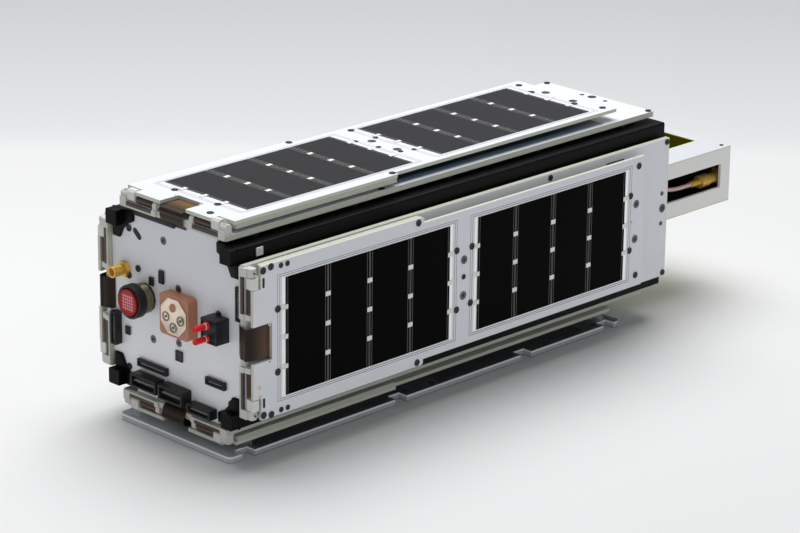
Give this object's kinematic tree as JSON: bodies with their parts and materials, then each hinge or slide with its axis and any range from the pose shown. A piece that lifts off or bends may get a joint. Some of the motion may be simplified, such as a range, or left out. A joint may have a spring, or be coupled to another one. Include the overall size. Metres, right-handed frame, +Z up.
{
  "type": "model satellite on a clear stand",
  "caption": "Long box-shaped small satellite lying on a clear display stand, with hinged solar wings folded along its sides and a sensor box at one end.",
  "frame": {"origin": "centre of the stand's underside across its width, below the middle of the satellite's body", "axes": "+X along the body towards the payload box, +Y across, +Z up from the stand"},
  "size_m": [0.43, 0.1256, 0.1338],
  "materials": {
    "black_anodised": "black anodised, satin",
    "white_board": "white solder mask, satin",
    "solar_cell": "dark cell under cover glass",
    "bare_laminate": "bare glass-fibre laminate",
    "hinge_white": "off-white, semi matt",
    "spring_steel": "dark drawn wire",
    "flex_film": "amber film over copper",
    "clear_acrylic": "clear, polished",
    "gold_plate": "gold plated",
    "black_plastic": "moulded, semi matt",
    "red_plastic": "translucent red",
    "copper_ceramic": "copper-brown ceramic",
    "cream_metal": "cream, silvered",
    "olive_pane": "dark olive pane",
    "pink_jacket": "cable jacket",
    "dark_stack": "electronics block"
  },
  "bodies": {
    "root": {"antenna_block": "copper_ceramic", "antenna_face": "cream_metal", "button_body": "black_plastic", "button_lens": "red_plastic", "coax_jack": "gold_plate", "electronics_block": "dark_stack", "end_frame_far": "black_anodised", "end_frame_near": "black_anodised", "end_plate_far": "white_board", "end_plate_near": "white_board", "flex_leads": "flex_film", "flex_strip_bottom": "flex_film", "header_block": "black_plastic", "header_plugs": "red_plastic", "hinge_base_bottom": "hinge_white", "hinge_base_left": "hinge_white", "hinge_base_right": "hinge_white", "hinge_base_top": "hinge_white", "hinge_leaf_bottom": "hinge_white", "hinge_springs": "spring_steel", "panel_bottom": "white_board", "panel_left": "white_board", "panel_right": "white_board", "panel_top": "white_board", "payload_bottom": "white_board", "payload_coax": "pink_jacket", "payload_end": "white_board", "payload_jack": "gold_plate", "payload_pane": "olive_pane", "payload_side_left": "white_board", "payload_side_right": "white_board", "payload_top": "white_board", "plate_sockets": "black_plastic", "rail_bottom_left": "black_anodised", "rail_bottom_right": "black_anodised", "rail_top_left": "black_anodised", "rail_top_right": "black_anodised", "stand_plate": "clear_acrylic", "stand_posts": "clear_acrylic", "wing_bars_bottom": "bare_laminate", "wing_board_bottom": "white_board", "wing_cells_bottom": "solar_cell"},
    "wing_top": {"hinge_leaf_top": "hinge_white", "wing_board_top": "white_board", "wing_bars_top": "bare_laminate", "wing_cells_top": "solar_cell", "flex_strip_top": "flex_film"},
    "wing_right": {"hinge_leaf_right": "hinge_white", "wing_board_right": "white_board", "wing_bars_right": "bare_laminate", "wing_cells_right": "solar_cell", "flex_strip_right": "flex_film"},
    "wing_left": {"hinge_leaf_left": "hinge_white", "wing_board_left": "white_board", "wing_bars_left": "bare_laminate", "wing_cells_left": "solar_cell", "flex_strip_left": "flex_film"}
  },
  "joints": [
    {"name": "wing_top_hinge", "type": "hinge", "parent": "root", "child": "wing_top", "pos_m": [-0.164, 0, 0.129], "axis": [0, -1, 0], "range_deg": [0, 90]},
    {"name": "wing_right_hinge", "type": "hinge", "parent": "root", "child": "wing_right", "pos_m": [-0.164, -0.058, 0.071], "axis": [0, 0, -1], "range_deg": [0, 90]},
    {"name": "wing_left_hinge", "type": "hinge", "parent": "root", "child": "wing_left", "pos_m": [-0.164, 0.058, 0.071], "axis": [0, 0, 1], "range_deg": [0, 90]}
  ]
}
